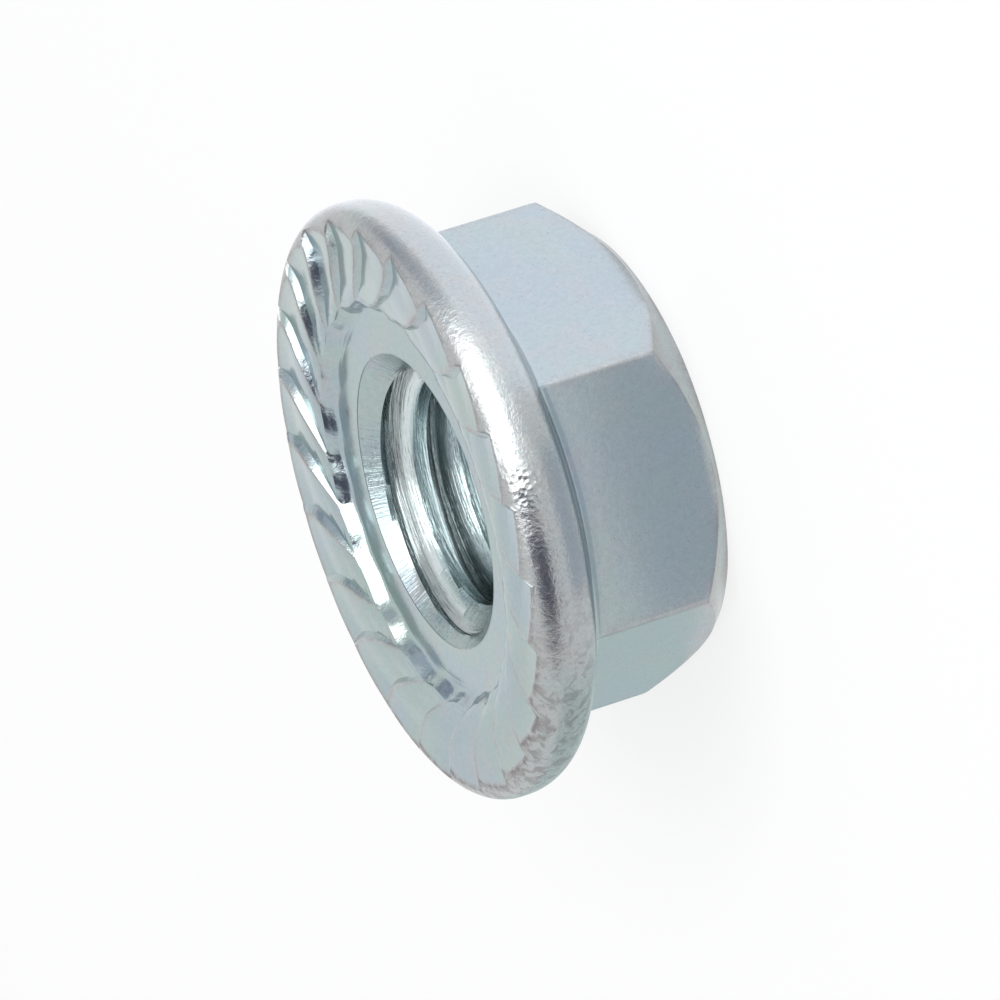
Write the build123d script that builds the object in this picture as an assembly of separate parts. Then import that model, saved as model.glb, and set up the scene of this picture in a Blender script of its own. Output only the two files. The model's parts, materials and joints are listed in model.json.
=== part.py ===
from build123d import *
import os
from math import asin, atan2, cos, degrees, hypot, radians, sin, sqrt, tan

# Serrated hex flange nut for a 5/16-18 thread, forged in one piece. Millimetres.
#
# Frame: the hex end face lies on z = 0 and the thread axis is Z, so the nut stands
# on its plain end, with the flange and its serrated bearing face on top.

# ---- overall sizes
nut_height = 7.0                  # hex end face to the crests of the serrations
across_flats = 12.5               # wrench size, half inch nominal
flange_diameter = 17.2

# ---- hole, bored to the thread's minor diameter
bore_diameter = 6.6
bearing_countersink = 8.52        # mouth of the countersink in the bearing face
end_countersink = 8.3             # mouth of the countersink in the hex end face
countersink_angle = 90.0          # included angle of both countersinks

# ---- hexagon
corner_rounding = 0.2             # the upset corners of the hexagon are not sharp
end_circle_diameter = 12.1        # flat circle left inside the end chamfer
end_chamfer_angle = 45.0          # measured from the end face
root_fillet = 0.35                # where the flats run into the flange
first_corner_angle = 16.3         # hexagon corner nearest to +X, from +X

# ---- flange rim, a full round drawn by three arcs
rim_shoulder_radius = 0.76        # rounds off the face, where the serrations run out
rim_nose_radius = 0.70            # carries on to the widest circle
rim_nose_angle = 45.0             # where the nose takes over, up from the level
rim_back_radius = 1.23
rim_straight = 0.2                # height of the band between the nose and the back
flange_back_angle = 22.0          # slope of the flange's back, from the level

# ---- dished bearing face
land_diameter = 11.1              # smooth ring round the hole, inside the teeth
land_recess = 0.72                # the ring lies this far below the crests
step_height = 0.38                # steep step from the ring up to the dish
step_width = 0.15                 # its width in plan
level_band = 0.77                 # level width between the dish and the rim's rounding

# ---- serrations, swirled saw teeth that bite when the nut is turned back
tooth_count = 24
tooth_depth = 0.15                # gully below crest
tooth_crest_width = 0.1           # plan widths at the rim, narrowing inward with the teeth
steep_width = 0.2                 # the biting flank
swirl_inset = 0.3                 # the gullies are radial this far inside the rim
first_tooth_angle = -6.9          # radial end of the first gully, from +X
runout_turn = 8.0                 # the gullies have left through the step this long before grazing
section_count = 5                 # sections that guide each gully's loft

# ---- cutting shapes run past the metal
cut_margin = 0.5
cut_overrun = 1.1

# ---- derived places
land_radius = land_diameter / 2
land_z = nut_height - land_recess
rim_radius = flange_diameter / 2
nose_offset = rim_shoulder_radius - rim_nose_radius
shoulder_centre = (rim_radius - rim_nose_radius - nose_offset * cos(radians(rim_nose_angle)),
                   nut_height - rim_shoulder_radius)
nose_centre = (rim_radius - rim_nose_radius,
               shoulder_centre[1] + nose_offset * sin(radians(rim_nose_angle)))
back_centre = (rim_radius - rim_back_radius, nose_centre[1] - rim_straight)
dish_start = land_radius + step_width
dish_end = shoulder_centre[0] - level_band
dish_drop = land_recess - step_height
dish_radius = ((dish_end - dish_start) ** 2 + dish_drop ** 2) / (2 * dish_drop)

# Each gully is an arc in plan: radial at swirl_start, and grazing the edge of the smooth ring.
swirl_start = rim_radius - swirl_inset
swirl_radius = (swirl_start ** 2 - land_radius ** 2) / (2 * land_radius)
swirl_sweep = degrees(atan2(swirl_start, swirl_radius))
tooth_pitch_angle = 360 / tooth_count


def on_arc(centre, radius, angle):
    """Point of a profile arc, its angle measured up from the level."""
    turn = radians(angle)
    return centre[0] + radius * cos(turn), centre[1] + radius * sin(turn)


def crest_height(radius):
    """Height of the dished face that carries the crests, at a distance from the axis."""
    run = dish_end - min(max(radius, dish_start), dish_end)
    return nut_height - dish_radius + sqrt(dish_radius ** 2 - run ** 2)


def in_xz(point):
    return Vector(point[0], 0, point[1])


def arc(centre, radius, first_angle, last_angle):
    """Edge along a profile arc, in the XZ plane."""
    angles = (first_angle, (first_angle + last_angle) / 2, last_angle)
    return ThreePointArc(*[in_xz(on_arc(centre, radius, angle)) for angle in angles])


def outline_edges(points):
    """Straight edges round a closed outline in the XZ plane."""
    return [Line(in_xz(points[i - 1]), in_xz(points[i])) for i in range(len(points))]


def revolved(profile_edges):
    """Solid of revolution about Z from the edges of a closed profile in the XZ plane."""
    return revolve(make_face(Wire(profile_edges)), Axis.Z)


def flange_blank():
    """Turned shape of the flange: smooth ring, step, dish, full-round rim and sloping back."""
    back_start = on_arc(back_centre, rim_back_radius, flange_back_angle - 90)
    axis_low = (0, back_start[1] - back_start[0] * tan(radians(flange_back_angle)))
    axis_land = (0, land_z)
    land_edge = (land_radius, land_z)
    step_top = (dish_start, crest_height(dish_start))
    dish_middle = (dish_start + dish_end) / 2
    level_start = (dish_end, nut_height)
    rim_top = (shoulder_centre[0], nut_height)
    nose_end = on_arc(nose_centre, rim_nose_radius, 0)
    back_end = on_arc(back_centre, rim_back_radius, 0)
    return revolved([
        Line(in_xz(axis_low), in_xz(axis_land)),
        Line(in_xz(axis_land), in_xz(land_edge)),
        Line(in_xz(land_edge), in_xz(step_top)),
        ThreePointArc(in_xz(step_top), in_xz((dish_middle, crest_height(dish_middle))),
                      in_xz(level_start)),
        Line(in_xz(level_start), in_xz(rim_top)),
        arc(shoulder_centre, rim_shoulder_radius, 90, rim_nose_angle),
        arc(nose_centre, rim_nose_radius, rim_nose_angle, 0),
        Line(in_xz(nose_end), in_xz(back_end)),
        arc(back_centre, rim_back_radius, 0, flange_back_angle - 90),
        Line(in_xz(back_start), in_xz(axis_low)),
    ])


def hexagon():
    """Hexagonal prism with rounded corners, its end turned to a conical chamfer."""
    outline = RegularPolygon(across_flats / 2, 6, major_radius=False)
    outline = fillet(outline.vertices(), corner_rounding).rotate(Axis.Z, first_corner_angle)
    end_radius, reach = end_circle_diameter / 2, across_flats
    rise = (reach - end_radius) * tan(radians(end_chamfer_angle))
    chamfer_cone = revolved(outline_edges([(0, 0), (end_radius, 0), (reach, rise), (0, rise)]))
    return extrude(outline, land_z) & chamfer_cone


def root_edges(body):
    """Edges where the hexagon meets the sloping back of the flange."""
    return [edge for edge in body.edges()
            if edge.geom_type != GeomType.LINE
            and hypot(edge.center().X, edge.center().Y) < across_flats / sqrt(3)
            and nut_height / 2 < edge.center().Z < land_z]


def hole_cutter():
    """Bore with a countersink at each mouth, as one turned tool."""
    bore_radius = bore_diameter / 2
    top_radius, end_radius = bearing_countersink / 2, end_countersink / 2
    slope = 1 / tan(radians(countersink_angle / 2))
    return revolved(outline_edges([
        (0, -cut_margin),
        (end_radius + cut_margin / slope, -cut_margin),
        (bore_radius, (end_radius - bore_radius) * slope),
        (bore_radius, land_z - (top_radius - bore_radius) * slope),
        (top_radius + cut_margin / slope, land_z + cut_margin),
        (0, land_z + cut_margin),
    ]))


def chord(radius):
    """Straight distance between neighbouring gullies at a distance from the axis."""
    return 2 * radius * sin(radians(tooth_pitch_angle / 2))


def gully_section(turn):
    """Saw-tooth section square to a gully, where its arc has turned inward by an angle."""
    to_ramp = Vector(-sin(radians(turn)), -cos(radians(turn)))
    bottom = Vector(swirl_start, swirl_radius) + to_ramp * swirl_radius
    slant = atan2(bottom.Y, bottom.X) + radians(turn)
    width = chord(bottom.length) * cos(slant)
    steep = width * steep_width / chord(swirl_start)
    ramp = width - steep - width * tooth_crest_width / chord(swirl_start)
    gully_z = crest_height(bottom.length) - tooth_depth
    ramp_rise = crest_height((bottom + to_ramp * ramp).length) - gully_z
    steep_rise = crest_height((bottom - to_ramp * steep).length) - gully_z

    def corner(across, height):
        return bottom + to_ramp * across + Vector(0, 0, height)

    return make_face(Polyline([
        corner(0, gully_z),
        corner(ramp * cut_overrun, gully_z + ramp_rise * cut_overrun),
        corner(ramp * cut_overrun, nut_height + cut_margin),
        corner(-steep * cut_overrun, nut_height + cut_margin),
        corner(-steep * cut_overrun, gully_z + steep_rise * cut_overrun),
    ], close=True))


def gully_cutter():
    """One gully with the ramp of its tooth, lofted along the swirl from rim to smooth ring."""
    first_turn = -degrees(asin((swirl_inset + cut_margin / 4) / swirl_radius))
    step = (swirl_sweep - runout_turn - first_turn) / (section_count - 1)
    return loft([gully_section(first_turn + step * i) for i in range(section_count)])


def serrations():
    """All the gullies, spaced evenly round the axis."""
    one = gully_cutter()
    return [one.rotate(Axis.Z, first_tooth_angle + tooth_pitch_angle * i)
            for i in range(tooth_count)]


def flange_nut():
    """The whole nut: forged blank with its root fillet, then the teeth, then the hole."""
    blank = flange_blank() + hexagon()
    blank = blank.fillet(root_fillet, root_edges(blank))
    return blank - serrations() - hole_cutter()


os.makedirs("parts", exist_ok=True)
export_step(flange_nut(), "parts/flange_nut.step")
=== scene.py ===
# %% [markdown]
# # A serrated flange nut
# This lesson dresses a packed CAD model of a small locking nut: one forged and tapped
# piece of steel, plated with bright zinc. The CAD model fixes the sizes. Blender adds
# what a solid model leaves out: the thread, the worn teeth and the plating.
#
# The nut stands on its hexagonal end, with the thread axis on Z and the toothed face on
# top. Its sizes are written in millimetres, because drawings of nuts are, and turned into
# metres once, when the mesh is made. The studio round it is written in metres.

# %% Load the frame
import bmesh
import bpy
import json
import math
import numpy as np
from mathutils import Matrix, Vector


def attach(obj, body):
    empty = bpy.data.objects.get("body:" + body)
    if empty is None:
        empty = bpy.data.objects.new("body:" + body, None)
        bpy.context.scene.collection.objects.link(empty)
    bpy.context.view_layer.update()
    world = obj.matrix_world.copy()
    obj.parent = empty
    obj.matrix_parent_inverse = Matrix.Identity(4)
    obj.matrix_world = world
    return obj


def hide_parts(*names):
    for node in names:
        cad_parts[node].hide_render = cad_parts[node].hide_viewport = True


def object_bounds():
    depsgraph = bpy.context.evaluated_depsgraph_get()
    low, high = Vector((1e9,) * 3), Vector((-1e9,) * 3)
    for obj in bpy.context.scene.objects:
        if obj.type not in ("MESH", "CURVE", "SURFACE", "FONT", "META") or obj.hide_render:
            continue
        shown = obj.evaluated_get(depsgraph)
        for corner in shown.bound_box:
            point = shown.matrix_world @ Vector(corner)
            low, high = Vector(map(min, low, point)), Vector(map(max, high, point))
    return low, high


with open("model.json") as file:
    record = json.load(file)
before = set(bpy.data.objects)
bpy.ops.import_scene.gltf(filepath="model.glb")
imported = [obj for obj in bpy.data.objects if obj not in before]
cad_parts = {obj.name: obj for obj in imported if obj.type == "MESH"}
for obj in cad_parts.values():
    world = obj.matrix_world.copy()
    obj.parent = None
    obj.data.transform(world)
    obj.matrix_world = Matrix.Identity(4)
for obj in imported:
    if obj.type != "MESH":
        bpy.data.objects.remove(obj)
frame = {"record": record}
cad_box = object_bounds()
MM = 0.001
print("CAD box in metres", cad_box)

# %% [markdown]
# ## The nut's main sizes
# The height, the flange and the hole come from the CAD model, so that the skin can't
# drift away from it. The other sizes are named for places on the nut, and each is given
# where it is first needed. The *land* is the smooth ring round the hole, the *step* leads
# up from it to the *dish*, the hollow face that carries the teeth, and the *rim* is the
# full round at the edge of the flange.

# %% Main sizes, in millimetres
HEIGHT = round(cad_box[1][2] / MM, 2)
RIM_R = round(cad_box[1][0] / MM, 2)
thread_mount = next(m for m in frame["record"]["mounts"] if m["name"] == "thread")
MINOR_R = thread_mount["dims"]["r_mm"]
LAND_Z = 6.28
LAND_R = 5.55
TEETH = 24
FIRST_TOOTH = math.radians(-6.9)    # the first gully's end on the rim, from +X
print("height", HEIGHT, "radius of the flange", RIM_R, "radius over the thread's crests", MINOR_R)

# %% [markdown]
# ## One skin for one piece of metal
# A nut is a single piece, so its mesh is a single closed skin. It could be carved with
# booleans, but those leave long thin faces that spoil the shine of metal. Instead the
# skin is *knitted*: a grid whose columns go round the axis and whose rows run up the
# bore, across the toothed face, over the rim and down the hexagon. Each stretch of rows
# is made where its formula is simplest, and the stretches share their border points.
#
# `Skin` collects the points and the faces between rows. Points that land on the same
# spot are merged at the end, which closes the seams. Each row also carries *marks*,
# numbers from 0 to 1 that say where the metal is worn, rolled, tapped or turned. The
# finish reads them later, so that wear follows the edges that really wear.

# %% The knitting frame
MARKS = ("worn", "rim", "bore", "mouth", "side", "steep", "lip")


class Skin:
    """Collects rows of points (millimetres) and the faces between them."""

    def __init__(self):
        self.points, self.faces, self.total = [], [], 0
        self.marks = {name: [] for name in MARKS}

    def row(self, radius, angle, z, **marks):
        """One ring of points with its marks; returns the points' indices."""
        r, a, z = np.broadcast_arrays(radius, angle, z)
        self.points.append(np.stack([r * np.cos(a), r * np.sin(a), z], -1))
        for name in MARKS:
            self.marks[name].append(np.broadcast_to(marks.get(name, 0.0), r.shape))
        ring = self.total + np.arange(len(r))
        self.total += len(r)
        return ring

    def join(self, rings):
        """Faces between each ring and the next, all with the same number of points."""
        for low, high in zip(rings, rings[1:]):
            self.faces.append(np.stack([low, np.roll(low, -1), np.roll(high, -1), high], -1))

    def join_double(self, coarse, fine, coarse_first):
        """Triangles between a ring and one that has twice as many points."""
        coarse_next = np.roll(coarse, -1)
        even, odd, even_next = fine[0::2], fine[1::2], np.roll(fine[0::2], -1)
        for a, b, c in ((coarse, odd, even), (coarse, coarse_next, odd), (coarse_next, even_next, odd)):
            if not coarse_first:
                a, c = c, a
            self.faces.append(np.stack([a, b, c, c], -1))


skin = Skin()
COARSE = 360
FINE = 2 * COARSE
coarse_angle = FIRST_TOOTH + np.arange(COARSE) * 2 * math.pi / COARSE
print("columns round the nut:", COARSE, "and", FINE, "where the teeth are")

# %% [markdown]
# ## The thread
# A tap cuts a helical groove with sides at 60 degrees into the bore and leaves flat
# crests between its turns. A screw modifier or a helical sweep would give such a groove,
# but it would have to be joined to two countersinks. Here the rows of the bore climb
# with the helix, so that each row stays on one edge of the thread profile all the way
# round, and after a full turn a row meets the one a pitch above it. Where a row reaches
# a mouth of the hole it is held there, and the held points merge into one ring.

# %% Profile of the thread
PITCH = 1.411
ROOT_R = 3.97                       # radius of the groove's floor
HALF_FLOOR = 0.0885                 # half the width of the groove's floor
flank_slope = math.tan(math.radians(30))
crest_edge = HALF_FLOOR + (ROOT_R - MINOR_R) * flank_slope


def flank(s):
    """Radius of the groove's side at a distance along the axis from the groove's middle."""
    return ROOT_R - (s - HALF_FLOOR) / flank_slope


half_profile = [
    (0.0, ROOT_R), (0.065, ROOT_R - 0.004), (0.115, ROOT_R - 0.05),         # rounded floor
    (0.28, flank(0.28)), (crest_edge - 0.035, flank(crest_edge - 0.035)),   # straight side
    (crest_edge + 0.005, MINOR_R + 0.018), (crest_edge + 0.05, MINOR_R)]    # rounded crest
mirrored = [(PITCH - s, r) for s, r in half_profile[:0:-1]]
profile = half_profile + [(PITCH / 2, MINOR_R)] + mirrored
print("rows to each turn of the thread", len(profile), "groove depth", round(ROOT_R - MINOR_R, 3))

# %% Knit the bore
MOUTH_R = 4.26                      # countersink in the toothed face
END_MOUTH_R = 4.15                  # countersink in the end face
TURNS = 8                           # enough to pass both mouths all the way round
LAST_CREST = 0.60                   # depth of the first column's crest, in the last turn but one
first_root = LAND_Z - LAST_CREST - PITCH / 2 - (TURNS - 2) * PITCH
climb = np.degrees(coarse_angle) / 360 * PITCH


def cone_radius(z):
    """Radius of the countersinks, whose sides stand at 45 degrees to the axis."""
    return np.maximum(MOUTH_R - (LAND_Z - z), END_MOUTH_R - z)


bore_rings = []
for turn in range(TURNS):
    for s, thread_r in profile:
        z = np.clip(first_root + turn * PITCH + s + climb, 0, LAND_Z)
        in_mouth = cone_radius(z) > thread_r
        on_crest = abs(thread_r - MINOR_R) < 0.03
        bore_rings.append(skin.row(np.maximum(thread_r, cone_radius(z)), coarse_angle, z,
                                   bore=~in_mouth, mouth=in_mouth, worn=~in_mouth & on_crest))


def a_turn_later(k):
    """The ring that ring k runs into after a full turn."""
    return bore_rings[min(k + len(profile), len(bore_rings) - 1)]


for k, (low, high) in enumerate(zip(bore_rings, bore_rings[1:])):
    low_next = np.append(low[1:], a_turn_later(k)[0])
    high_next = np.append(high[1:], a_turn_later(k + 1)[0])
    skin.faces.append(np.stack([low, low_next, high_next, high], -1))
mouth_ring = skin.row(MOUTH_R, coarse_angle, LAND_Z)
print("bore rows", len(bore_rings))

# %% [markdown]
# ## The serrations
# The teeth are saw-shaped: a steep side that bites when the nut is turned back, a narrow
# crest, and a long ramp down to the next gully. They are also *swirled*. They leave the
# rim square to it and curl as they run inward, because the punch that coins them has to
# let the metal flow. The teeth could be an array of one modelled tooth, but here each
# column of the grid is bent along the swirl, so the gullies and crests lie exactly on
# mesh edges and a thin edge costs no extra faces.
#
# The dish under them is an arc that rises from the step and ends level near the rim. The
# rim's first arc, the *shoulder*, takes over there, so its size is needed here too.

# %% Shape of the dish, the shoulder and the swirl
STEP_R = 5.70
DISH_END = 7.10
STEP_RISE = 0.38
dish_drop = HEIGHT - LAND_Z - STEP_RISE
dish_radius = ((DISH_END - STEP_R) ** 2 + dish_drop ** 2) / (2 * dish_drop)
SHOULDER_R = 0.76
NOSE_R = 0.70
blend = (SHOULDER_R - NOSE_R) * math.sqrt(0.5)
shoulder = (RIM_R - NOSE_R - blend, HEIGHT - SHOULDER_R)
CURL_START = 8.0                    # the gullies are radial outside this radius
CURL = 2.2                          # degrees for each squared millimetre inside it
LATE_CURL = 0.15                    # degrees for each fourth power of a millimetre


def dish_height(r):
    """Height of the crests at a distance from the axis."""
    run = DISH_END - np.clip(r, STEP_R, DISH_END)
    return HEIGHT - dish_radius + np.sqrt(dish_radius ** 2 - run ** 2)


def swirl(r):
    """Angle by which a gully has curled at a distance from the axis."""
    inside = np.clip(CURL_START - r, 0, None)
    return np.radians(CURL * inside ** 2 + LATE_CURL * inside ** 4)


print("dish radius", round(dish_radius, 3), "curl at the step in degrees", np.degrees(swirl(STEP_R)))

# %% [markdown]
# ## One tooth, and its neighbours
# A tooth's profile is the lowest of three lines: the steep side, the ramp and the level
# crest. A plain minimum has knife edges, and coined metal has none, so a *soft minimum*
# is used, which rounds each corner a little. The columns crowd together at the steep side
# and the crest, where the shape turns, and spread out on the ramp. No two coined teeth
# are quite alike: each gets its own depth and a small shift, from a fixed random seed.

# %% Profile of one tooth
STEEP = 0.105                       # shares of a pitch
CREST = 0.05
SOFTNESS = 0.06
share = np.concatenate([
    [0, 0.012, 0.03, 0.05, 0.07, 0.085, 0.097, 0.11, 0.125, 0.14, 0.16, 0.19],
    np.linspace(0.23, 0.93, 14), [0.955, 0.975, 0.988, 0.996]])
assert len(share) * TEETH == FINE


def tooth_shape(f):
    """Height of the tooth along one pitch, low in the gully and high on the crest."""
    up = f / STEEP
    down = (1 - f) / (1 - STEEP - CREST)
    return -SOFTNESS * np.log(np.exp(-up / SOFTNESS) + np.exp(-down / SOFTNESS)
                              + np.exp(-1 / SOFTNESS))


shape = tooth_shape(share)
shape = (shape - shape.min()) / (shape.max() - shape.min())
print("columns to a tooth", len(share), "highest at", share[shape.argmax()], "of a pitch")

# %% Uneven teeth
TOOTH_DEPTH = 0.20
DEPTH_SPREAD = 0.14                 # share of the depth
SHIFT_SPREAD = math.radians(0.25)
rng = np.random.default_rng(7)
tooth_deep = TOOTH_DEPTH * (1 + DEPTH_SPREAD * rng.standard_normal(TEETH))
tooth_shift = SHIFT_SPREAD * rng.standard_normal(TEETH)


def across_teeth(values):
    """Spread one value per tooth over the columns, sliding to the next tooth's value."""
    return (np.outer(values, 1 - share) + np.outer(np.roll(values, -1), share)).ravel()


tooth_angle = 2 * math.pi / TEETH
column_angle = (FIRST_TOOTH + across_teeth(tooth_shift)
                + ((np.arange(TEETH)[:, None] + share) * tooth_angle).ravel())
lowered = across_teeth(tooth_deep) * (1 - np.tile(shape, TEETH))
print("tooth depth from", tooth_deep.min().round(3), "to", tooth_deep.max().round(3))

# %% Marks and recess of each column
CREST_FADE = 0.07                   # shares of a pitch
RECESS_SHIFT = 0.03
HALF_RECESS = 0.06                  # the step stands back by twice this at each gully
from_crest = share - STEEP - CREST / 2
crest_mark = np.tile(np.exp(-(from_crest / CREST_FADE) ** 2), TEETH)
steep_mark = np.tile(share < STEEP, TEETH)
recess = np.tile(HALF_RECESS + HALF_RECESS * np.cos(2 * math.pi * (share - RECESS_SHIFT)), TEETH)
print("the step stands back by up to", recess.max().round(3), "mm")

# %% [markdown]
# ## The land, the step and the toothed dish
# The land is flat, so a few rings are enough, and the grid doubles its columns on it,
# where the change doesn't show. The step is an S-curve with its foot on the land. The
# gullies are shallow at its top, deepest in the middle of the dish, and shallower again
# at the rim. They run straight on where the shoulder turns down, so each one ends where
# its floor comes out of the round. That end is worked out for every column, and gives the
# scalloped line where the teeth run out.

# %% Knit the land and the step
LAND_RINGS = (4.32, 4.5, 4.8, 5.1)
DOUBLING_R = 5.35
STEP_FOOT = 0.11                    # the foot of the step lies this far inside the land's edge
STEP_WIDTH = 0.33
FOOT_RECESS = 0.3                   # share of the recess at the foot
STEP_CURVE = ((0.0, 0.0), (0.16, 0.03), (0.32, 0.13), (0.46, 0.31), (0.6, 0.52), (0.74, 0.72),
              (0.88, 0.88))         # shares of the way out and of the way up
DEPTH_PLACES = (0, 0.28, 0.7, 1)    # shares of the way from the step to the run-out
DEPTH_AT = (0.15, 0.95, 1.0, 0.6)   # shares of the tooth depth there

land_rings = [mouth_ring] + [skin.row(r, coarse_angle, LAND_Z) for r in LAND_RINGS]
skin.join(land_rings)
step_angle = column_angle + swirl(STEP_R)
fine_rings = [skin.row(DOUBLING_R, step_angle, LAND_Z)]
skin.join_double(land_rings[-1], fine_rings[0], coarse_first=False)
step_top = dish_height(STEP_R) - lowered * DEPTH_AT[0]
for out, up in STEP_CURVE:
    r = LAND_R - STEP_FOOT + out * STEP_WIDTH + recess * (FOOT_RECESS + (1 - FOOT_RECESS) * out)
    fine_rings.append(skin.row(r, step_angle, LAND_Z + up * (step_top - LAND_Z),
                               steep=0.6, worn=0.3 * up))
print("rows on the land and the step", len(land_rings) + len(fine_rings))

# %% Knit the dish
DISH_ROWS = 36
ROW_CROWDING = 1.15                 # more than 1 crowds the rows towards the step
STEP_LIP = 0.07                     # the dish starts this far outside the step
RIM_WEAR = 0.1                      # the wear of the rim reaches this share of the dish
LIP_WIDTH = 0.03
lowered_end = lowered * DEPTH_AT[-1]
runout = shoulder[0] + np.sqrt(SHOULDER_R ** 2 - (SHOULDER_R - lowered_end) ** 2)
for v in np.linspace(0, 1, DISH_ROWS) ** ROW_CROWDING:
    r = STEP_R + STEP_LIP + v * (runout - STEP_R - STEP_LIP)
    near_rim = np.clip((v - 1) / RIM_WEAR + 1, 0, 1)
    depth = lowered * np.interp(v, DEPTH_PLACES, DEPTH_AT)
    fine_rings.append(skin.row(r + recess * (1 - v) ** 2, column_angle + swirl(r),
                               dish_height(r) - depth, worn=np.maximum(crest_mark, near_rim),
                               rim=near_rim ** 3, steep=np.maximum(steep_mark, 0.6 * (v < 0.06)),
                               lip=np.exp(-((1 - v) / LIP_WIDTH) ** 2)))
print("rows on the dish", DISH_ROWS, "run-out from", runout.min().round(2), "to", runout.max().round(2))

# %% [markdown]
# ## The rim
# The flange ends in a full round: the shoulder, the tighter *nose* that carries on to the
# widest circle, and a larger arc behind. A bevel modifier can't change its radius along
# the way, and a revolved curve would have to be joined to the teeth, so the three arcs
# are rows as well. The shoulder's rows start wherever a tooth has run out.

# %% Knit the rim
HANDOVER = math.pi / 4              # where the nose takes over from the shoulder
BACK_R = 1.23
RIM_STRAIGHT = 0.2
BACK_SLOPE = math.radians(22)
SHOULDER_ROWS, NOSE_ROWS, BACK_ROWS = 9, 7, 12
nose = (RIM_R - NOSE_R, shoulder[1] + blend)
back = (RIM_R - BACK_R, nose[1] - RIM_STRAIGHT)
start_angle = np.arctan2(SHOULDER_R - lowered_end, runout - shoulder[0])
for v in np.linspace(0, 1, SHOULDER_ROWS)[1:]:
    a = start_angle + v * (HANDOVER - start_angle)
    fine_rings.append(skin.row(shoulder[0] + SHOULDER_R * np.cos(a), column_angle,
                               shoulder[1] + SHOULDER_R * np.sin(a), rim=1, worn=0.8 - 0.6 * v,
                               lip=math.exp(-(v / 0.3) ** 2)))
for v in np.linspace(0, 1, NOSE_ROWS)[1:]:
    a = HANDOVER * (1 - v)
    fine_rings.append(skin.row(nose[0] + NOSE_R * math.cos(a), column_angle,
                               nose[1] + NOSE_R * math.sin(a), rim=1, worn=0.2))
back_end = BACK_SLOPE - math.pi / 2
even_angle = FIRST_TOOTH + np.arange(FINE) * 2 * math.pi / FINE
for v in np.linspace(0, 1, BACK_ROWS):
    a = back_end * v
    fine_rings.append(skin.row(back[0] + BACK_R * math.cos(a),
                               column_angle * (1 - v) + even_angle * v,
                               back[1] + BACK_R * math.sin(a), rim=1 - v ** 3, worn=0.2 * (1 - v)))
skin.join(fine_rings)
print("arc centres of the rim: shoulder", shoulder, "nose", nose, "back", back)

# %% [markdown]
# ## The hexagon
# The wrench flats rise from the flange's sloping back with a small fillet, and the end
# is turned to a cone, so each flat ends in a curve. Six planes and a cone could be cut
# with booleans. In the grid it is enough to know, for each column, how far the flat lies
# from the axis, and to gather more columns at the rounded corners.

# %% Columns of the hexagon
FIRST_CORNER = math.radians(16.3)   # from +X
CORNER_SPAN = 1.0                   # degrees on each side of a corner that get extra columns
CORNER_COLUMNS = 5
HALF_FLAT = 30.0                    # degrees from a corner to the middle of a flat
columns = COARSE // 6
on_corner = np.linspace(0, CORNER_SPAN, CORNER_COLUMNS)
along_flat = np.linspace(0, 1, columns // 2 - CORNER_COLUMNS + 2)[1:]
half = np.concatenate([on_corner, CORNER_SPAN + (HALF_FLAT - CORNER_SPAN) * along_flat])
one_flat = np.concatenate([half, 2 * HALF_FLAT - half[-2:0:-1]])
assert len(one_flat) == columns
from_corner = np.radians(np.concatenate([one_flat + 2 * HALF_FLAT * k for k in range(6)]))
corner_column = round(math.degrees(FIRST_CORNER - FIRST_TOOTH) * COARSE / 360)
hex_angle = np.roll(FIRST_CORNER + from_corner, corner_column)
hex_angle[:corner_column] -= 2 * math.pi
nearest = np.abs((hex_angle - FIRST_CORNER + math.pi / 6) % (math.pi / 3) - math.pi / 6)
print("columns to a flat", columns, "first corner at column", corner_column)

# %% Distance of the sides
FLAT_R = 6.25
CORNER_ROUND = 0.2


def side_distance(angle):
    """Distance of the hexagon's side from the axis, at an angle from its nearest corner."""
    on_flat = FLAT_R / np.cos(math.pi / 6 - angle)
    centre = (FLAT_R - CORNER_ROUND) / math.cos(math.pi / 6)
    across = centre * np.sin(angle)
    on_round = centre * np.cos(angle) + np.sqrt(np.clip(CORNER_ROUND ** 2 - across ** 2, 0, None))
    tangent = math.atan2(CORNER_ROUND * 0.5, centre + CORNER_ROUND * math.cos(math.pi / 6))
    return np.where(angle < tangent, on_round, on_flat)


side_r = side_distance(nearest)
print("across the corners", round(2 * side_r.max(), 3), "flats", round(2 * side_r.min(), 3))

# %% Knit the back of the flange and its fillet
ROOT_FILLET = 0.35
BACK_MARGIN = 0.06                  # the rows start this far inside the rim's last one
BACK_PLACES = (0.35, 0.6, 0.8)      # shares of the way from the rim to the fillet
FILLET_ROWS = 9
back_r = back[0] + BACK_R * math.cos(back_end)
back_z = back[1] + BACK_R * math.sin(back_end)


def back_height(r):
    """Height of the flange's sloping back."""
    return back_z - (back_r - r) * math.tan(BACK_SLOPE)


fillet_r = side_r + ROOT_FILLET
fillet_z = back_height(fillet_r) - ROOT_FILLET / math.cos(BACK_SLOPE)
top_of_fillet = fillet_r - ROOT_FILLET * math.sin(BACK_SLOPE)
hex_rings = []
for v in BACK_PLACES:
    r = back_r - BACK_MARGIN + v * (top_of_fillet - back_r + BACK_MARGIN)
    hex_rings.append(skin.row(r, coarse_angle * (1 - v) + hex_angle * v, back_height(r)))
skin.join_double(hex_rings[0], fine_rings[-1], coarse_first=True)
for v in np.linspace(0, 1, FILLET_ROWS):
    a = math.pi / 2 + BACK_SLOPE + v * (math.pi / 2 - BACK_SLOPE)
    hex_rings.append(skin.row(fillet_r + ROOT_FILLET * math.cos(a), hex_angle,
                              fillet_z + ROOT_FILLET * math.sin(a), side=v))
print("the flats start", round(float(fillet_z.min()), 3), "above the end face")

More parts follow.
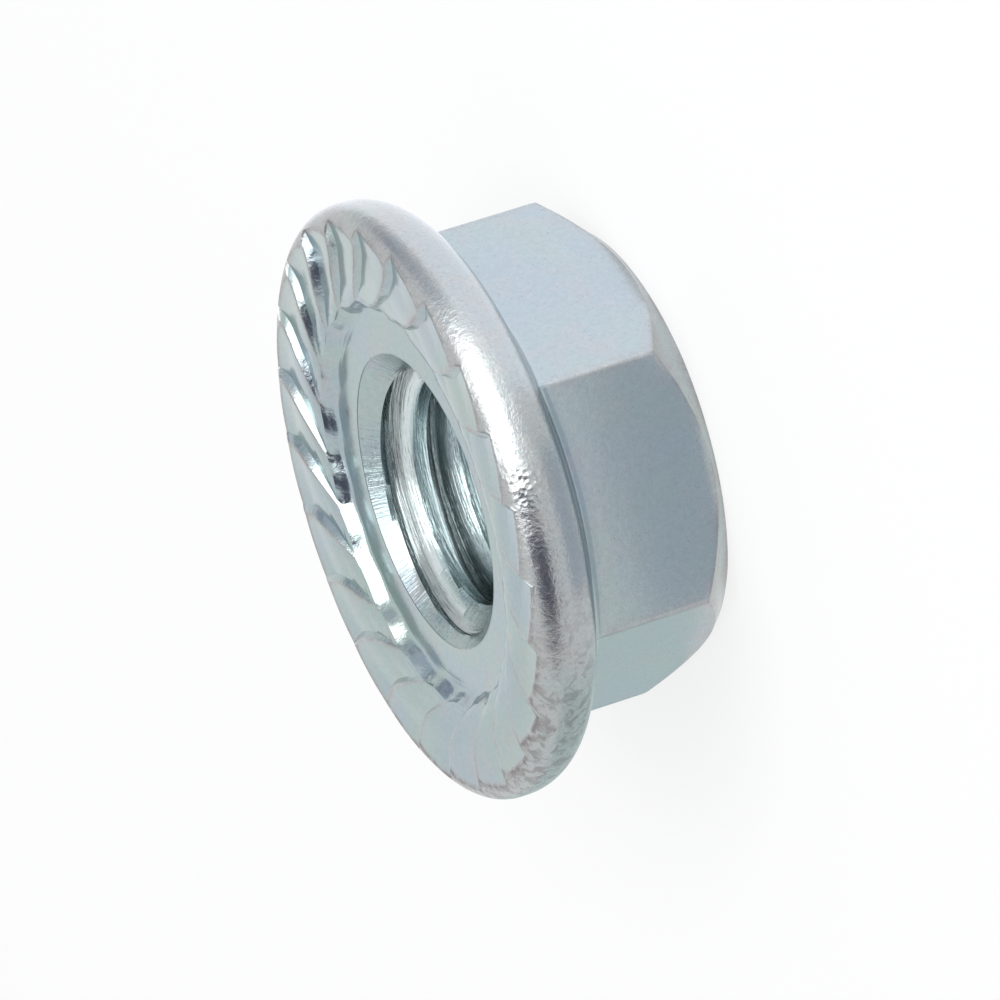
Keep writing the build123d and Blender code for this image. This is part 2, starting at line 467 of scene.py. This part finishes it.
# %% Knit the flats and the end
END_R = 6.05
CORNER_WEAR = 1.4                   # degrees
FLAT_PLACES = (0.06, 0.15, 0.3, 0.45, 0.6, 0.75, 0.88, 0.96)
CHAMFER_CURVE = ((0.0, 0.006), (0.05, 0.06), (0.5, 0.5), (0.9, 0.9), (1, 0.97),
                 (1, 1.06))         # shares of the way down to the end face and of the way in
END_RING_R = 5.2
END_RING_TURN = 0.4                 # share of the hexagon's column angles on that ring
MOUTH_MARGIN = 0.05
chamfer_z = side_r - END_R
corner_mark = np.exp(-(np.degrees(nearest) / CORNER_WEAR) ** 2)
for v in FLAT_PLACES:
    end_wear = 0.5 if v == FLAT_PLACES[-1] else 0.0
    hex_rings.append(skin.row(side_r, hex_angle, fillet_z + v * (chamfer_z - fillet_z), side=1,
                              worn=np.maximum(corner_mark, end_wear)))
for down, inward in CHAMFER_CURVE:
    z = np.clip(chamfer_z * (1 - down), 0, None)
    on_edge = inward < 0.1 or inward > 0.8
    hex_rings.append(skin.row(side_r - (side_r - END_R) * inward, hex_angle, z,
                              worn=1.0 if on_edge else 0.4))
hex_rings.append(skin.row(END_RING_R, hex_angle * END_RING_TURN
                          + coarse_angle * (1 - END_RING_TURN), 0.0))
hex_rings.append(skin.row(END_MOUTH_R + MOUTH_MARGIN, coarse_angle, 0.0))
hex_rings.append(skin.row(END_MOUTH_R, coarse_angle, 0.0))
skin.join(hex_rings)
print("rows from the flange to the end's mouth", len(hex_rings))

# %% [markdown]
# ## From numbers to a mesh
# Points on the same spot become one, faces that shrank to a line are dropped, and the
# rest goes to Blender in a single call. The marks go with it as attributes of the points.
# Smooth shading rounds the skin, and edges sharper than a limit keep a crisp line, as at
# the mouth of the hole, where a smoothed edge would smear its reflections.

# %% Merge the points
points = np.concatenate(skin.points)
rounded = np.round(points, 4)
_, first, same = np.unique(rounded, axis=0, return_index=True, return_inverse=True)
faces = []
for face in same.reshape(-1)[np.concatenate(skin.faces)].tolist():
    ring = [p for i, p in enumerate(face) if p != face[i - 1]]
    if len(ring) >= 3 and len(set(ring)) == len(ring):
        faces.append(ring)
print("points", len(points), "of which", len(first), "are left; faces", len(faces))

# %% Build the mesh
SHARP_ANGLE = math.radians(33)
mesh = bpy.data.meshes.new("nut_skin")
mesh.from_pydata((points[first] * MM).tolist(), [], faces)
for name in MARKS:
    values = np.concatenate(skin.marks[name])[first].astype(float)
    mesh.attributes.new(name, "FLOAT", "POINT").data.foreach_set("value", values)
nut = bpy.data.objects.new("nut_skin", mesh)
bpy.context.scene.collection.objects.link(nut)
bm = bmesh.new()
bm.from_mesh(mesh)
bmesh.ops.recalc_face_normals(bm, faces=bm.faces)
open_edges = sum(len(e.link_faces) != 2 for e in bm.edges)
volume = bm.calc_volume() / MM ** 3
bm.to_mesh(mesh)
bm.free()
mesh.polygons.foreach_set("use_smooth", [True] * len(mesh.polygons))
mesh.set_sharp_from_angle(angle=SHARP_ANGLE)
triangles = sum(len(f) - 2 for f in faces)
print("triangles", triangles, "open edges", open_edges, "volume in mm3", round(volume, 1))
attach(nut, "root")
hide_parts("flange_nut")

# %% [markdown]
# ## Writing a finish as expressions
# A material in Blender is a web of nodes. Drawn by hand it soon becomes hard to read, so
# here two small classes turn it into ordinary arithmetic: a `Wire` is an output of some
# node, and adding or multiplying wires adds the Math nodes that do it. `Finish.node`
# makes every other kind of node. A world is a web of nodes too, so the same class builds
# it.

# %% Wires
class Wire:
    """An output of a node; arithmetic on it adds Math nodes to its finish."""

    def __init__(self, finish, socket):
        self.finish, self.socket = finish, socket

    def beside(self, output):
        """Another output of the node that this wire leaves."""
        return Wire(self.finish, self.socket.node.outputs[output])

    def calculate(self, operation, first, second):
        """A Math node on two wires or numbers."""
        return self.finish.node("ShaderNodeMath", {"operation": operation}, {0: first, 1: second})

    def __add__(self, other):
        return self.calculate("ADD", self, other)

    def __radd__(self, other):
        return self.calculate("ADD", other, self)

    def __sub__(self, other):
        return self.calculate("SUBTRACT", self, other)

    def __rsub__(self, other):
        return self.calculate("SUBTRACT", other, self)

    def __mul__(self, other):
        return self.calculate("MULTIPLY", self, other)

    def __rmul__(self, other):
        return self.calculate("MULTIPLY", other, self)

    def __truediv__(self, other):
        return self.calculate("DIVIDE", self, other)

    def __rtruediv__(self, other):
        return self.calculate("DIVIDE", other, self)

    def __pow__(self, other):
        return self.calculate("POWER", self, other)

    def __rpow__(self, other):
        return self.calculate("POWER", other, self)

    def clip(self):
        """The value held between 0 and 1."""
        return self.calculate("MINIMUM", self.calculate("MAXIMUM", self, 0.0), 1.0)

    def above(self, edge, width):
        """A soft step: 0 below the edge, 1 once past it by the width."""
        return ((self - edge) / width).clip()


print("operators of a wire:", [name for name in vars(Wire) if name.startswith("__r")])

# %% Finishes
class Finish:
    """The nodes of a material, or of a world, made from Python expressions."""

    def __init__(self, name, kept_in=bpy.data.materials):
        self.owner = kept_in.new(name)
        self.owner.use_nodes = True
        self.tree = self.owner.node_tree

    def node(self, kind, settings=None, sockets=None, out=0):
        """Any node: its settings first, then the values or wires of its sockets."""
        made = self.tree.nodes.new(kind)
        for name, value in (settings or {}).items():
            setattr(made, name, value)
        for name, value in (sockets or {}).items():
            self.plug(made.inputs[name], value)
        return Wire(self, made.outputs[out])

    def plug(self, socket, value):
        """Link a wire to a socket, or set a plain value on it."""
        if isinstance(value, Wire):
            self.tree.links.new(value.socket, socket)
        elif isinstance(value, tuple) and socket.type == "RGBA":
            socket.default_value = (*value, 1)
        else:
            socket.default_value = value

    def feed(self, node_name, sockets):
        """Plug values or wires into a node that was there from the start."""
        for name, value in sockets.items():
            self.plug(self.tree.nodes[node_name].inputs[name], value)

    def mark(self, name):
        """One of the marks that were knitted into the skin."""
        return self.node("ShaderNodeAttribute", {"attribute_name": name}, out="Fac")

    def noise(self, place, scale, detail=2.0, rough=0.5, bend=0.0):
        """Cloudy pattern between 0 and 1."""
        return self.node("ShaderNodeTexNoise", None, {
            "Vector": place, "Scale": scale, "Detail": detail, "Roughness": rough,
            "Distortion": bend})

    def mix(self, amount, first, second, how="MIX"):
        """Colour between two colours: a Mix node's colours are sockets 6 and 7, and output 2."""
        return self.node("ShaderNodeMix", {"data_type": "RGBA", "blend_type": how},
                         {0: amount, 6: first, 7: second}, 2)

    def shade(self, colour, factor):
        """A colour made lighter or darker by a wire."""
        grey = self.node("ShaderNodeCombineColor", None, {0: factor, 1: factor, 2: factor})
        return self.mix(1.0, colour, grey, "MULTIPLY")

    def direct_rays(self):
        """1 for rays of the camera, of reflections and through glass, else 0."""
        camera_ray = self.node("ShaderNodeLightPath", out="Is Camera Ray")
        return (camera_ray + camera_ray.beside("Is Glossy Ray")
                + camera_ray.beside("Is Transmission Ray")).clip()


print("a finish can", [name for name in vars(Finish) if not name.startswith("_")])

# %% [markdown]
# ## Bright zinc
# Electroplated zinc is a thin skin of metal with a clear chromate film over it. The film
# is why the colour is never one grey: it drifts between blue, green and faint pink, as
# oil on water does. Where the nuts have tumbled against each other the skin is bruised:
# crests, corners and the rim are matt, a little pink, and pricked with dark specks.
# Painted textures would need an unwrapped mesh; noise in the metal's own space and the
# marks knitted into the skin do the same with nothing to unwrap.
#
# First come the coordinates, in millimetres, so that a pattern's scale can be compared
# with the nut's sizes.

# %% Places on the nut
zinc = Finish("zinc_plating")
metres = zinc.node("ShaderNodeTexCoord", out="Object")
place = zinc.node("ShaderNodeVectorMath", {"operation": "SCALE"}, {0: metres, "Scale": 1 / MM})
x = zinc.node("ShaderNodeSeparateXYZ", None, {0: place}, "X")
y, z = x.beside("Y"), x.beside("Z")
radius = (x * x + y * y) ** 0.5
worn, rim, bore = zinc.mark("worn"), zinc.mark("rim"), zinc.mark("bore")
mouth, side, steep, lip = zinc.mark("mouth"), zinc.mark("side"), zinc.mark("steep"), zinc.mark("lip")


def round_place(turn, along_radius, along_axis):
    """Coordinates that stretch a pattern round the axis, with no seam."""
    return zinc.node("ShaderNodeCombineXYZ", None, {
        0: x / radius * turn, 1: y / radius * turn, 2: radius * along_radius + z * along_axis})


def patch(where, size):
    """1 at a place on the nut (millimetres), falling to 0 at a distance from it."""
    away = zinc.node("ShaderNodeVectorMath", {"operation": "DISTANCE"}, {0: place, 1: where}, "Value")
    return (1.0 - away / size).clip()


dented = patch(where=(8.50, -0.45, 6.55), size=0.85)
# 1 towards -Y, the lower side in the camera's view
low_side = (0.0 - y).above(3.0, 4.0)
print("marks read by the finish", MARKS)

# %% [markdown]
# ## Patterns from coarse to fine
# Real plating varies at every size, from a drift of hue across the whole nut to pricks
# that are just visible. One noise can't do that, so there is one for each size: *drift*,
# *clouds*, *mottle*, *grain* and *specks*. Two more are stretched with the tool that left
# them: the countersink's drill *chatters*, which leaves fine lines that point at the
# axis, and the tap leaves lines that run round the thread.

# %% Patterns
drift = zinc.noise(place, 0.32, 2.0, 0.5, 0.6)
clouds = zinc.noise(place, 0.9, 3.0, 0.55, 0.8)
mottle = zinc.noise(place, 2.6, 4.0, 0.6, 0.5)
grain = zinc.noise(place, 7.0, 4.0, 0.7)
specks = zinc.noise(place, 16.0, 2.0, 0.6)
pits = zinc.node("ShaderNodeTexVoronoi", {"feature": "SMOOTH_F1"},
                 {"Vector": place, "Scale": 6.0, "Smoothness": 0.3})
chatter = zinc.noise(round_place(46.0, 0.8, 0.0), 1.0, 3.0, 0.6)
tapped = zinc.noise(round_place(2.0, 7.0, 11.0), 1.0, 3.0, 0.6, 0.2)
print("nodes so far", len(zinc.tree.nodes))

# %% [markdown]
# ## The colour
# Metal has no white paint in it: its base colour tints the reflections. The film's hues
# come first, then bruises, then *smut*, the dark dirt that stays in rough places, with
# darker marks towards -Y on the rim and along the line where the teeth run out, and at
# last the places that a tool has left in another state: the tapped thread is cleaner and
# brighter than the rest, with a teal cast on its crests, and the wrench flats carry the
# even sheen that the forming die gave them. Between those two, painted shade darkens the
# bottoms of the thread's grooves. Layers are laid over each other in that order, as they
# would be with thin paint.

# %% Hues of the film and of the bruises
BLUE, GREEN = (0.385, 0.47, 0.51), (0.395, 0.49, 0.475)
PINK, PALE = (0.46, 0.465, 0.475), (0.44, 0.52, 0.53)
BRUISED, SMUT = (0.47, 0.475, 0.475), (0.20, 0.185, 0.19)
film = zinc.mix(drift.above(0.40, 0.22), BLUE, GREEN)
film = zinc.mix(clouds.above(0.50, 0.25) * 0.7, film, PINK)
film = zinc.mix(mottle.above(0.55, 0.25) * 0.35, film, PALE)
bruise = (worn * (0.25 + 1.0 * mottle) + rim * (0.15 + 1.1 * clouds)).clip()
colour = zinc.mix(bruise * 0.85, film, BRUISED)
print("hues of the film", BLUE, GREEN, PINK, PALE)

# %% Smut, and darker marks towards -Y
pricks = specks.above(0.57, 0.10) * (0.40 * worn + 0.12 * rim)
# The line where the teeth run out darkens more towards -Y, the lower side in the camera's view, and the
# rim gets dark blotches on that side alone. Both take the smut's colour.
lip_line = lip * mottle.above(0.40, 0.18) * (0.25 + 0.6 * low_side)
low_blotches = rim * low_side * mottle.above(0.47, 0.12) * 0.60
wear_stains = worn * worn * clouds.above(0.42, 0.2) * 0.35
for smut in (pricks, lip_line, low_blotches, wear_stains):
    colour = zinc.mix(smut.clip(), colour, SMUT)
print("nodes so far", len(zinc.tree.nodes))

# %% Thread and wrench flats
TAPPED, TEAL, SHEEN = (0.68, 0.75, 0.76), (0.45, 0.56, 0.57), (0.44, 0.46, 0.495)
CREST_TOP = 3.40                    # the thread's crests lie inside this radius
GROOVE_SHADE_TOP = 3.56                   # and its grooves darken outside this one
colour = zinc.mix(bore * 0.85, colour, TAPPED)
colour = zinc.mix((CREST_TOP - radius).above(0.0, 0.05) * bore * 0.8, colour, TEAL)
# Painted shade: the bottoms of the thread's grooves are darkened, where shade falls in them.
colour = zinc.shade(colour, 1.0 - 0.42 * radius.above(GROOVE_SHADE_TOP, 0.16) * bore)
colour = zinc.mix(side * (0.15 + 0.5 * clouds), colour, SHEEN)
colour = zinc.mix(specks.above(0.66, 0.04) * side * 0.35, colour, SMUT)
colour = zinc.shade(colour, 1.10 - 0.26 * grain)
zinc.feed("Principled BSDF", {"Base Color": colour, "Metallic": 1.0})
print("nodes so far", len(zinc.tree.nodes))

# %% [markdown]
# ## Gloss and relief
# Bright zinc is nearly a mirror, so its roughness is low everywhere, and it rises where
# the skin is bruised or pressed. Most of what the eye takes for texture is relief: a bump
# of a few hundredths of a millimetre bends the reflections into streaks and flecks. It
# could be cut into the mesh, but that would take millions of faces, and a Bump node
# bends the light in the same way.

# %% Gloss
roughness = (0.10 + 0.06 * clouds + 0.09 * bruise + 0.10 * side + 0.05 * mouth
             + 0.05 * specks.above(0.5, 0.2))
zinc.feed("Principled BSDF", {"Roughness": roughness})
print("nodes so far", len(zinc.tree.nodes))

# %% Relief, in hundredths of a millimetre
everywhere = 0.25 * mottle + 0.16 * grain
rolled = rim * (1.3 * grain + 0.4 * specks + 1.6 * mottle)
rubbed = worn * (0.5 * grain)
drilled = mouth * (2.2 * chatter + 1.2 * grain)
threaded = bore * 3.0 * tapped
coined = steep * (0.9 * grain + 1.6 * mottle)
pressed = side * (0.8 * clouds + 0.15 * grain)
dents = dented * (5.0 * pits)
lumps = (lip + rim * low_side) * (3.0 * mottle)
height = everywhere + rolled + rubbed + drilled + threaded + coined + pressed + dents + lumps
bump = zinc.node("ShaderNodeBump", None, {"Strength": 1.0, "Distance": 0.01 * MM, "Height": height})
zinc.feed("Principled BSDF", {"Normal": bump})
mesh.materials.append(zinc.owner)
print("nodes in the zinc finish", len(zinc.tree.nodes))

# %% [markdown]
# ## A small studio
# Bright metal has almost no look of its own: it shows what stands round it. A product
# photographer therefore works with a white surround, one large soft lamp and a few dark
# or grey cards. The surround and the table look white to the camera and in reflections,
# which a brighter lamp would also do, but it would burn out the pale places of the nut.
# So they are full white for those rays alone, and the table keeps a share of plain paint
# that shows the nut's shadow.

# %% White surround
AMBIENT, WHITE = (0.55, 0.56, 0.57), (1.0, 1.0, 1.0)
surround = Finish("white_surround", bpy.data.worlds)
surround.feed("Background", {"Color": surround.mix(surround.direct_rays(), AMBIENT, WHITE)})
bpy.context.scene.world = surround.owner
print("light of the surround on the nut", AMBIENT)

# %% Table
TABLE_GLOW = 0.8
TABLE_HALF = 3.0                    # metres


def flat_piece(name, corners, material):
    """A one-face piece of the studio."""
    data = bpy.data.meshes.new(name)
    data.from_pydata(corners, [], [tuple(range(len(corners)))])
    data.materials.append(material)
    piece = bpy.data.objects.new(name, data)
    bpy.context.scene.collection.objects.link(piece)
    return piece


table = Finish("white_table")
table.feed("Principled BSDF", {"Base Color": (0.9, 0.9, 0.9), "Roughness": 0.9,
                               "Specular IOR Level": 0.1})
paint = Wire(table, table.tree.nodes["Principled BSDF"].outputs[0])
glow = table.node("ShaderNodeEmission", None, {"Color": WHITE, "Strength": 1.0})
glow_share = table.direct_rays() * TABLE_GLOW
both = table.node("ShaderNodeMixShader", None, {0: glow_share, 1: paint, 2: glow})
table.feed("Material Output", {"Surface": both})
flat_piece("floor", [(-TABLE_HALF, -TABLE_HALF, 0), (TABLE_HALF, -TABLE_HALF, 0),
                     (TABLE_HALF, TABLE_HALF, 0), (-TABLE_HALF, TABLE_HALF, 0)], table.owner)
print("table", 2 * TABLE_HALF, "m wide")

# %% [markdown]
# ## The lamp
# One tall soft lamp stands above the camera and to its side. Metal shows a lamp's shape,
# so a broad lamp gives broad white streaks where the nut curves, and a sun lamp or a
# point would give hard pinpricks instead. The lamp's power follows from how bright its
# face should look, so that its reflections stay as bright when it is resized.

# %% Soft lamp
LAMP_AWAY, LAMP_WIDE, LAMP_TALL = 0.5, 0.44, 0.80   # metres
LAMP_RADIANCE = 2.8                                 # 1 is white


def direction(azimuth, elevation):
    """Unit vector from the nut towards a place in the studio."""
    a, e = math.radians(azimuth), math.radians(elevation)
    return Vector((math.cos(a) * math.cos(e), math.sin(a) * math.cos(e), math.sin(e)))


lamp_data = bpy.data.lights.new("soft_lamp", "AREA")
lamp_data.shape = "RECTANGLE"
lamp_data.size = LAMP_WIDE
lamp_data.size_y = LAMP_TALL
lamp_data.energy = LAMP_RADIANCE * math.pi * LAMP_WIDE * LAMP_TALL
lamp = bpy.data.objects.new("soft_lamp", lamp_data)
bpy.context.scene.collection.objects.link(lamp)
towards_lamp = direction(28, 38)
lamp.location = towards_lamp * LAMP_AWAY
lamp.rotation_euler = towards_lamp.to_track_quat("Z", "Y").to_euler()
lamp.visible_camera = False
print("lamp power", round(lamp_data.energy, 2), "W")

# %% [markdown]
# ## Cards and sheets
# Cards stand round the nut and sheets lie on the table. The dark ones draw the dark
# streaks, without which plated steel looks like plaster, and the bright ones lift the
# countersink and the back of the rim. A photographer cuts them from paper and keeps them
# out of the picture. Here each is one face that glows with its own brightness and is
# seen by reflections alone, so no view has a card in it and no card casts a shadow.

# %% How a card is made
LIFT = Vector((0, 0, 0.00004))      # sheets lie this far above the table, in metres
SHEET_STEPS = 6


def paper(name, corners, light):
    """A sheet of one brightness that nothing but a reflection can see."""
    coat = Finish(name + "_paint")
    shine = coat.node("ShaderNodeEmission", None, {"Color": light, "Strength": 1.0})
    coat.feed("Material Output", {"Surface": shine})
    piece = flat_piece(name, [tuple(c) for c in corners], coat.owner)
    for ray in ("camera", "diffuse", "shadow", "transmission", "volume_scatter"):
        setattr(piece, "visible_" + ray, False)
    print(name, "brightness", light)


def card(name, azimuths, elevations, away, light):
    """An upright sheet that spans the given angles round the nut."""
    (a0, a1), (e0, e1) = azimuths, elevations
    corners = [direction(a, e) * away for a, e in ((a0, e0), (a1, e0), (a1, e1), (a0, e1))]
    paper(name, corners, light)


def sheet(name, azimuths, near, far, light):
    """A sector of paper lying on the table, between two distances from the axis."""
    first_turn, last_turn = azimuths
    turns = [first_turn + (last_turn - first_turn) * i / SHEET_STEPS for i in range(SHEET_STEPS + 1)]
    inner = [direction(a, 0) * near + LIFT for a in turns]
    outer = [direction(a, 0) * far + LIFT for a in reversed(turns)]
    paper(name, inner + outer, light)


# %% Cards, by their angles round the nut, angles above the table and distance
card("dark_card", (-59, -17), (1, 68), 0.35, (0.13, 0.125, 0.17))
card("dim_card", (-68, -59), (1, 50), 0.36, (0.45, 0.47, 0.50))
card("grey_card", (74, 128), (7, 42), 0.42, (0.68, 0.72, 0.78))
card("grey_stripe", (102, 124), (16, 36), 0.38, (0.36, 0.38, 0.46))
card("high_card", (-52, 44), (66, 80), 0.34, (2.2, 2.2, 2.2))

# %% Sheets, by their angles and distances from the axis
HOLE_SHEET_R = 0.0040
sheet("bright_sheet", (4, 50), 0.0300, 0.45, (2.3, 2.3, 2.3))
sheet("dark_sheet", (-59, -17), 0.040, 0.34, (0.12, 0.12, 0.15))
paper("hole_sheet", [direction(a, 0) * HOLE_SHEET_R + LIFT for a in range(0, 360, 15)],
      (1.6, 1.62, 1.65))
sheet("dim_sheet", (-40, 5), 0.0070, 0.0150, (0.62, 0.67, 0.74))
sheet("pale_sheet", (22, 160), 0.0070, 0.029, (1.34, 1.36, 1.42))
sheet("far_pale_sheet", (52, 160), 0.029, 0.09, (1.34, 1.36, 1.42))
sheet("cool_sheet", (-178, -72), 0.0070, 0.04, (0.70, 0.80, 0.80))

# %% [markdown]
# ## The camera
# The nut is seen from low over its toothed face, with the camera rolled so that the
# face looks left. A long lens keeps the parallel edges of the hexagon parallel. The
# lens could be set by its focal length, but one number in pixels says more: how many
# pixels wide a thing looks whose width is its distance.

# %% Camera
TILT = math.radians(20.2)           # of the view above the toothed face's plane
FOCAL_PX, PICTURE_PX = 9000, 1000
AWAY = 0.2492                       # metres
DOWN_FACE, OUT_OF_PAGE = 0.953, 0.302   # the parts that make up the picture's right
AIM_RIGHT_PX, AIM_UP_PX = 75.1, 1.4     # the picture's middle, from the middle of the land
towards = Vector((math.cos(TILT), 0, math.sin(TILT)))
down_face = Vector((math.sin(TILT), 0, -math.cos(TILT)))
right = (DOWN_FACE * down_face + OUT_OF_PAGE * Vector((0, -1, 0))).normalized()
up = towards.cross(right).normalized()
pixel = AWAY / FOCAL_PX
aim = Vector((0, 0, LAND_Z * MM)) + right * AIM_RIGHT_PX * pixel + up * AIM_UP_PX * pixel
camera_data = bpy.data.cameras.new("camera")
camera_data.sensor_width = 36
camera_data.lens = FOCAL_PX * camera_data.sensor_width / PICTURE_PX
camera_data.clip_start = 0.01
camera = bpy.data.objects.new("camera", camera_data)
bpy.context.scene.collection.objects.link(camera)
camera.matrix_world = (Matrix.Translation(aim + towards * AWAY)
                       @ Matrix((right, up, towards)).transposed().to_4x4())
bpy.context.scene.camera = camera
bpy.context.scene.view_settings.view_transform = "Standard"
print("lens", camera_data.lens, "mm, one pixel is", round(pixel / MM, 4), "mm at the nut")

# %% [markdown]
